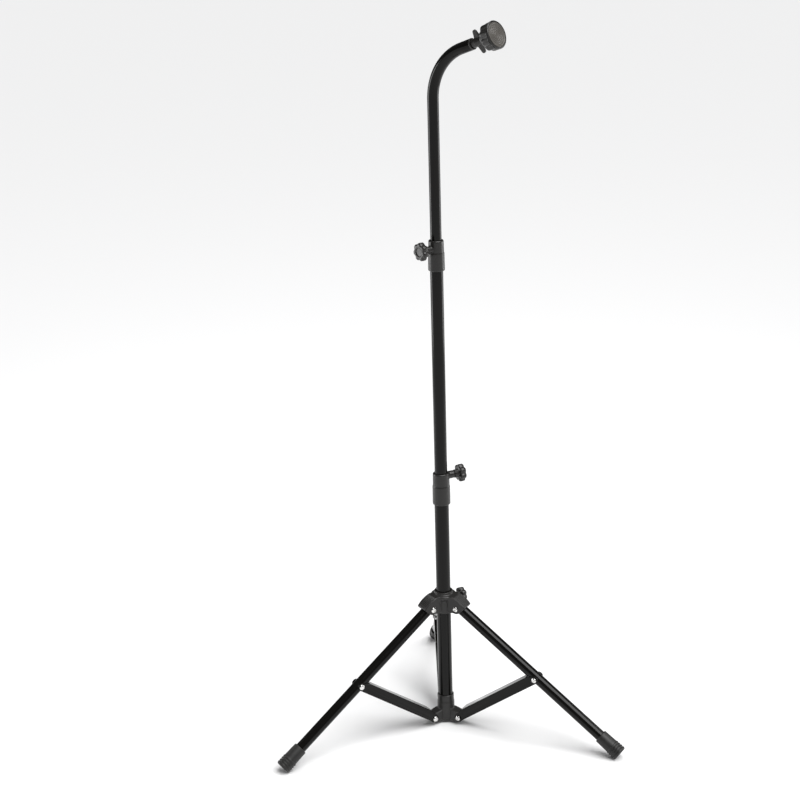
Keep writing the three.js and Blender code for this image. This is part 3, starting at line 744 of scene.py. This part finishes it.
def starKnob(which):
    # profile of (distance, radius, lobe share); radius loses depth * share * (1 - cos(lobes * angle)) / 2
    look = knobLook[which]
    neck, thick, wide = look["neck"], look["thick"], look["radius"]
    end = neck + thick
    boreEnd = neck + lobeLook["screwDepth"] + gap
    rows = [(boreEnd, 0, 0), (boreEnd, lobeLook["bore"], 0), (0, lobeLook["bore"], 0),
            (0, lobeLook["neckRadius"] - 0.5, 0),
            (0.5, lobeLook["neckRadius"], 0), (neck - 1.2, lobeLook["neckRadius"] + 0.3, 0),
            (neck - 0.1, lobeLook["neckRadius"] + 1.6, 0.2), (neck + 0.1, wide - 3.0, 0.9),
            (neck + 0.7, wide - 1.1, 1),
            (neck + 1.9, wide - 0.2, 1), (neck + thick * 0.5, wide, 1), (end - 1.9, wide - 0.2, 1),
            (end - 0.7, wide - 1.1, 1),
            (end - 0.1, wide - 3.0, 0.9), (end, wide * 0.58, 0.2), (end - 0.2, wide * 0.52, 0),
            (end - 1.3, wide * 0.47, 0),
            (end - 1.5, wide * 0.4, 0), (end - 1.1, 0, 0)]
    rows = np.array(rows, dtype=float)
    angle = np.linspace(0, 2 * math.pi, lobeLook["sides"], endpoint=False)
    wave = (1 - np.cos(lobeLook["lobes"] * angle)) / 2
    radius = (rows[:, 1][:, None] - lobeLook["depth"] * rows[:, 2][:, None] * wave ** 1.6) * mm
    x = np.repeat(rows[:, :1], len(angle), axis=1) * mm
    points = np.stack([x, radius * np.cos(angle), radius * np.sin(angle)], axis=-1).reshape(-1, 3)
    return points, gridFaces(len(rows), len(angle), False, True)


def clampScrew(which):
    # a threaded rod: ridges of 1 mm pitch between two plain ends
    look = knobLook[which]
    tip = look["tube"] + gap
    end = look["reach"] + gap + look["neck"] + lobeLook["screwDepth"]
    crests = np.arange(tip + 1.6, look["reach"] + 2, 0.5)
    rows = [(tip, 0), (tip, 2.2), (tip + 1.2, 2.75)]
    rows += [(crest, 3.0 if index % 2 else 2.72) for index, crest in enumerate(crests)]
    rows += [(look["reach"] + 3, 3.0), (end, 3.0), (end, 0)]
    return ring(np.array(rows) * mm, 32)


for which in ("lower", "upper", "crown"):
    look = knobLook[which]
    screwPoint, screwAxis = jointPlace(which + "_clamp_turn")
    spot = place((columnX, columnY, screwPoint[2]), screwAxis, (0, 0, 1))
    knobSpot = spot.copy()
    knobSpot[:3, 3] += spot[:3, 0] * (look["reach"] + gap) * mm
    points, faces = starKnob(which)
    knob = meshObject(which + "StarKnob", moved(points, knobSpot), faces)
    keep(smoothShaded(knob, 50), which + "_clamp", mouldedNylon, "moulded_black", which + "_clamp_knob")
    points, faces = clampScrew(which)
    screw = meshObject(which + "ClampScrew", moved(points, spot), faces)
    keep(smoothShaded(screw), which + "_clamp", nickel, "bright_steel", which + "_clamp_screw")
    insertRows = [(look["reach"] - 7.5, 3.3), (look["reach"] - 7.5, 4.5), (look["reach"], 4.5),
                  (look["reach"], 3.3)]
    points, faces = solidRing(insertRows, 0.3, 40)
    insert = meshObject(which + "ClampInsert", moved(points, spot), faces)
    insertBody = {"lower": "column", "upper": "middle", "crown": "crown"}[which]
    keep(smoothShaded(insert), insertBody, turnedBrass, "brass", which + "_clamp_insert")
print("stage: star knobs")


# mounting end: plug, stud, wing nut and round knob
tipLook = {"offset": 24.5, "length": 28.5, "radius": 23.0, "neck": 8.5, "neckRadius": 11.0, "flutes": 9,
           "fluteDepth": 2.6, "cap": 20.0, "insert": 15.0}
wingLook = {"offset": 3.5, "length": 20.0, "radius": 7.5, "span": 40.0, "thick": 4.0, "base": 13.0,
            "tip": 7.0,
            "centre": 12.5, "turn": -76.0, "bore": 4.3}
tipSide = unit(np.cross([0, 0, 1], armHeading))
tipPlace = place(studPoint, studAxis, tipSide)


def along(matrix, distance):
    result = matrix.copy()
    result[:3, 3] += matrix[:3, 0] * distance * mm
    return result


def roundKnob():
    # turned body with broad flutes: radius loses depth * share * (1 - |cos(half the flutes * angle)|)
    look = tipLook
    end, wide, face, neck = look["length"], look["radius"], look["cap"] + 0.3, look["neck"]
    rows = [(15.3, 0, 0), (15.3, 6.8, 0), (0.3, 6.8, 0), (0, 7.1, 0), (0, look["neckRadius"] - 0.6, 0),
            (0.6, look["neckRadius"], 0), (neck - 0.8, look["neckRadius"], 0),
            (neck - 0.2, look["neckRadius"] + 0.5, 0),
            (neck, look["neckRadius"] + 1.2, 0), (neck, wide - 5.0, 0.4), (neck + 0.3, wide - 3.4, 0.7),
            (neck + 1.2, wide - 1.6, 0.9), (neck + 2.6, wide - 0.8, 1), (neck + 5, wide - 0.4, 1),
            (end - 5.2, wide, 1),
            (end - 4.2, wide, 0.8), (end - 3.6, wide, 0.3), (end - 3.3, wide - 1.0, 0),
            (end - 2.7, wide - 1.0, 0),
            (end - 2.4, wide - 0.1, 0), (end - 1.6, wide - 0.1, 0), (end - 0.6, wide - 0.7, 0),
            (end - 0.1, wide - 1.5, 0),
            (end, wide - 2.1, 0), (end, face + 0.25, 0), (end - 0.3, face, 0), (end - 2.9, face, 0),
            (end - 2.9, 0, 0)]
    rows = np.array(rows, dtype=float)
    angle = np.linspace(0, 2 * math.pi, 288, endpoint=False)
    wave = 1 - np.abs(np.cos(look["flutes"] * angle / 2)) ** 1.3
    radius = (rows[:, 1][:, None] - look["fluteDepth"] * rows[:, 2][:, None] * wave) * mm
    x = np.repeat(rows[:, :1], len(angle), axis=1) * mm
    points = np.stack([x, radius * np.cos(angle), radius * np.sin(angle)], axis=-1).reshape(-1, 3)
    return points, gridFaces(len(rows), len(angle), False, True)


def faceCap():
    # a shallow dish with concentric rings
    end, wide = tipLook["length"], tipLook["cap"]
    rows = [(end - 2.6, 0), (end - 2.6, wide), (end - 0.4, wide), (end, wide - 0.5), (end, wide - 2.0),
            (end - 0.7, wide - 2.6)]
    for ringRadius in (14.2, 11.0, 7.8):
        rows += [(end - 0.8, ringRadius + 0.9), (end - 0.2, ringRadius + 0.45),
                 (end - 0.2, ringRadius - 0.45),
                 (end - 0.8, ringRadius - 0.9)]
    rows += [(end - 0.9, 4.6), (end - 0.3, 3.6), (end - 0.2, 0)]
    return solidRing(rows, 0.25, 120, 3)


def wingNutPiece():
    # a tapered round body and two wings that narrow to round tips
    look = wingLook
    length, tip, centre, half = look["length"], look["span"] / 2, look["centre"], look["tip"] / 2
    body = [(0, 0), (0, look["radius"]), (length * 0.4, look["radius"]), (length, look["radius"] - 1.5),
            (length, 0)]
    root, foot = look["base"] / 2, look["radius"] * 0.6
    outline = [(centre - root, -foot), (centre - root, foot)] + arcPoints(centre, tip - half, half, 180, 0)
    outline += [(centre + root, foot), (centre + root, -foot)] + arcPoints(centre, half - tip, half, 0, -180)
    turn = np.array(Matrix.Rotation(math.radians(look["turn"] - 90), 4, "X"))
    spot = along(tipPlace, look["offset"])
    bore = solidRing([(-5, 0), (-5, look["bore"]), (40, look["bore"]), (40, 0)], 0, 48)
    adds = [shifted(solidRing(body, 0.8, 64), spot), shifted(prism(outline, look["thick"] / 2), spot @ turn)]
    return moulded("wingNut", adds, [shifted(bore, spot)], 0.45, 4)


knobPlace = along(tipPlace, tipLook["offset"])
points, faces = roundKnob()
keep(smoothShaded(meshObject("roundKnob", moved(points, knobPlace), faces), 50), "clamp_knob", mouldedNylon,
     "moulded_black", "clamp_knob_body")
points, faces = faceCap()
keep(smoothShaded(meshObject("knobFace", moved(points, knobPlace), faces)), "clamp_knob", greyFace,
     "moulded_grey",
     "clamp_knob_cap")
points, faces = solidRing([(0, 4.3), (0, 6.5), (15, 6.5), (15, 4.3)], 0.4, 48)
keep(smoothShaded(meshObject("knobInsert", moved(points, knobPlace), faces)), "clamp_knob", turnedBrass,
     "brass",
     "clamp_knob_insert")
keep(wingNutPiece(), "wing", mouldedNylon, "moulded_black", "wing_nut")
plugRows = [(-15, 4.3), (-15, 8.0), (0.3, 8.0), (0.3, 9.5), (3, 9.5), (3, 4.3)]
points, faces = solidRing(plugRows, 0.5, 64)
keep(smoothShaded(meshObject("armPlug", moved(points, tipPlace), faces)), "arm", mouldedNylon,
     "moulded_black",
     "arm_end_plug")
threadRows = [(-12, 0), (-12, 3.9)] + [(x, 4.0 if i % 2 else 3.6) for i,
                                       x in enumerate(np.arange(-11.4, 37.0, 0.6))]
threadRows += [(38.0, 3.2), (38.5, 0)]
points, faces = ring(np.array(threadRows) * mm, 40)
keep(smoothShaded(meshObject("mountingStud", moved(points, tipPlace), faces)), "arm", nickel, "bright_steel",
     "mounting_stud")


def bushPiece(name, node, radius, body):
    spigot = radius - tubeLook["wall"] - gap
    rows = [(-3.3, spigot - 2), (-3.3, radius), (-0.3, radius), (-0.3, spigot), (14, spigot),
            (14, spigot - 2)]
    points, faces = solidRing(rows, 0.5, 64)
    high = boxOf(node)[1][2]
    piece = meshObject(name, moved(points, onColumn(high - 14 * mm)), faces)
    keep(smoothShaded(piece), body, greyFace, "moulded_grey", node)


bushPiece("middleBush", "middle_tube_bush", tubeLook["middle"], "middle_slider")
bushPiece("upperBush", "upper_tube_bush", tubeLook["upper"], "upper_slider")
print("stage: mounting end")


# studio
studioLook = {"floor": (0.8, 0.8, 0.802), "reach": 40.0, "sun": 3.7, "sunAngle": 50.0,
              "sunFrom": (0.9, -1.0, 2.3),
              "air": (0.9, 0.905, 0.91), "airStrength": 0.1}


def studioFloor():
    # one wide pale square that reaches past the view on every side
    reach = studioLook["reach"]
    corners = np.array([[-1, -1, 0], [1, -1, 0], [1, 1, 0], [-1, 1, 0]]) * reach
    mesh = bpy.data.meshes.new("studioFloor")
    mesh.from_pydata(corners.tolist(), [], [[0, 1, 2, 3]])
    floor = bpy.data.objects.new("studioFloor", mesh)
    bpy.context.scene.collection.objects.link(floor)
    material = bpy.data.materials.new("studioPaper")
    material.use_nodes = True
    shader = material.node_tree.nodes["Principled BSDF"]
    shader.inputs["Base Color"].default_value = (*studioLook["floor"], 1)
    shader.inputs["Roughness"].default_value = 0.95
    shader.inputs["Specular IOR Level"].default_value = 0.1
    mesh.materials.append(material)


def studioSun():
    # broad soft daylight, the same over the whole floor
    light = bpy.data.lights.new("studioSun", "SUN")
    light.energy = studioLook["sun"]
    light.angle = math.radians(studioLook["sunAngle"])
    lamp = bpy.data.objects.new("studioSun", light)
    lamp.matrix_world = Matrix(lookAt(studioLook["sunFrom"], (0, 0, 0)))
    bpy.context.scene.collection.objects.link(lamp)


def softbox(name, where, aim, size, power):
    light = bpy.data.lights.new(name, "AREA")
    light.shape = "RECTANGLE"
    light.size, light.size_y = size
    light.energy = power
    lamp = bpy.data.objects.new(name, light)
    lamp.matrix_world = Matrix(lookAt(where, aim))
    lamp.visible_camera = False
    bpy.context.scene.collection.objects.link(lamp)


def lookAt(where, aim):
    # a 4x4 whose -z points from where to aim and whose y is as upright as it can be
    back = unit(np.array(where) - np.array(aim))
    right = unit(np.cross([0, 0, 1], back))
    matrix = np.eye(4)
    matrix[:3, 0] = right
    matrix[:3, 1] = np.cross(back, right)
    matrix[:3, 2] = back
    matrix[:3, 3] = where
    return matrix.tolist()


studioFloor()
studioSun()
middle = (columnX, columnY, 0.7)
softbox("leftBox", (columnX - 1.7, columnY + 0.45, 0.75), middle, (0.5, 1.1), 11)
softbox("rightBox", (columnX + 1.7, columnY + 0.45, 0.75), middle, (0.5, 1.1), 9)
softbox("topBox", (columnX + 0.2, columnY + 0.5, 3.4), middle, (2.2, 1.6), 30)


def studioAir():
    # the world is pale to the camera, and dim where it lights and mirrors in the stand
    world = bpy.data.worlds.new("studioAir")
    world.use_nodes = True
    tree = world.node_tree
    paths = tree.nodes.new("ShaderNodeLightPath")
    strength = tree.nodes.new("ShaderNodeMapRange")
    strength.inputs["To Min"].default_value = studioLook["airStrength"]
    strength.inputs["To Max"].default_value = 1.0
    tree.links.new(paths.outputs["Is Camera Ray"], strength.inputs["Value"])
    background = tree.nodes["Background"]
    background.inputs["Color"].default_value = (*studioLook["air"], 1)
    tree.links.new(strength.outputs["Result"], background.inputs["Strength"])
    bpy.context.scene.world = world


studioAir()
bpy.context.scene.view_settings.view_transform = "Standard"

cameraLook = {"distance": 3.1566, "height": 1.6877, "down": 18.894, "roll": -1.624, "turn": -1.211,
              "heading": -2.67,
              "lens": 88.58}


def addCamera():
    look = cameraLook
    heading = math.radians(look["heading"])
    turn = math.radians(look["turn"])
    down, roll = math.radians(look["down"]), math.radians(look["roll"])
    flat = np.array([math.sin(turn - heading), math.cos(turn - heading), 0])
    right = np.array([flat[1], -flat[0], 0])
    forward = flat * math.cos(down) - np.array([0, 0, 1]) * math.sin(down)
    up = flat * math.sin(down) + np.array([0, 0, 1]) * math.cos(down)
    matrix = np.eye(4)
    matrix[:3, 0] = right * math.cos(roll) + up * math.sin(roll)
    matrix[:3, 1] = up * math.cos(roll) - right * math.sin(roll)
    matrix[:3, 2] = -forward
    matrix[:3, 3] = [columnX + math.sin(heading) * look["distance"],
                     columnY - math.cos(heading) * look["distance"],
                     look["height"]]
    lens = bpy.data.cameras.new("camera")
    lens.lens = look["lens"]
    lens.sensor_width = 36
    camera = bpy.data.objects.new("camera", lens)
    camera.matrix_world = Matrix(matrix.tolist())
    bpy.context.scene.collection.objects.link(camera)
    bpy.context.scene.camera = camera


addCamera()
print("stage: studio")
